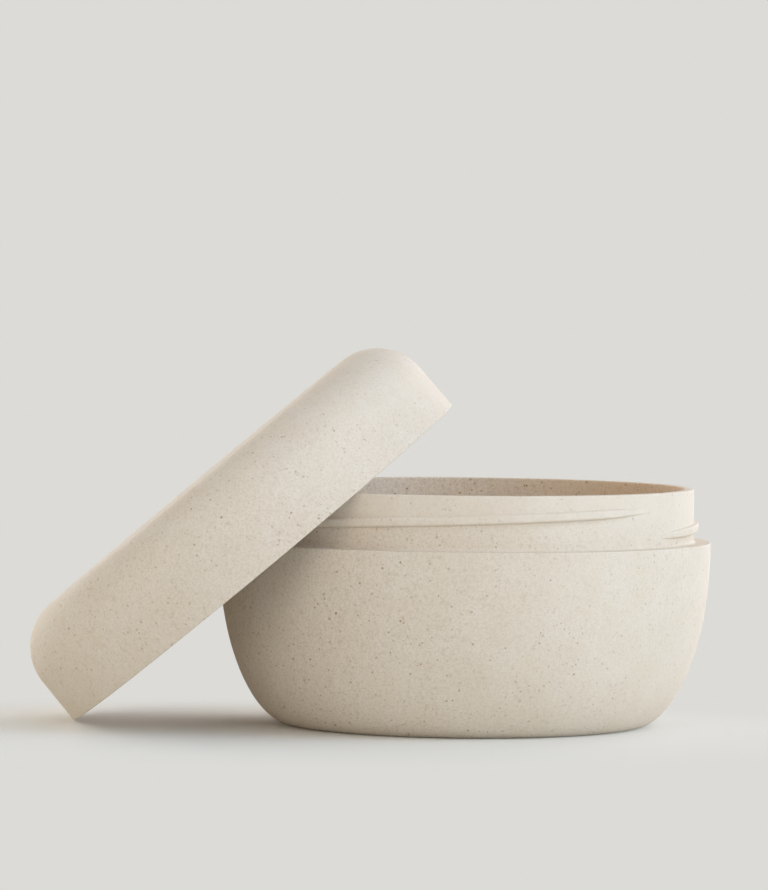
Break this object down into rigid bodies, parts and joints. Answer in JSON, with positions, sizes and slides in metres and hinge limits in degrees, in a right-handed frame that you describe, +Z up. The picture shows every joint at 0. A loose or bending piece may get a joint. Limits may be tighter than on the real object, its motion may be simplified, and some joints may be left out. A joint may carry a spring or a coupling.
{
  "type": "storage pot",
  "caption": "Low round bathroom storage pot with a threaded neck, and a screw lid that is off and leans on the neck.",
  "frame": {"origin": "the middle of the pot's flat base, on the surface that it stands on", "axes": "+Z up along the pot's axis; the lid leans from the -X side; the picture looks along +Y with +X to the right"},
  "size_m": [0.1657, 0.12, 0.0912],
  "materials": {
    "pot_moulding": "warm off-white moulded fibre composite with fine dark and ochre flecks, dry and matt",
    "lid_moulding": "warm off-white moulded fibre composite with fine dark and ochre flecks, dry and matt"
  },
  "bodies": {
    "pot_body": {"pot": "pot_moulding"},
    "lid_body": {"screw_lid": "lid_moulding"}
  },
  "joints": [
    {"name": "lid_lift", "type": "slide", "parent": "pot_body", "child": "lid_body", "axis": [0, 0, 1], "range_m": [0, 0.09]}
  ]
}
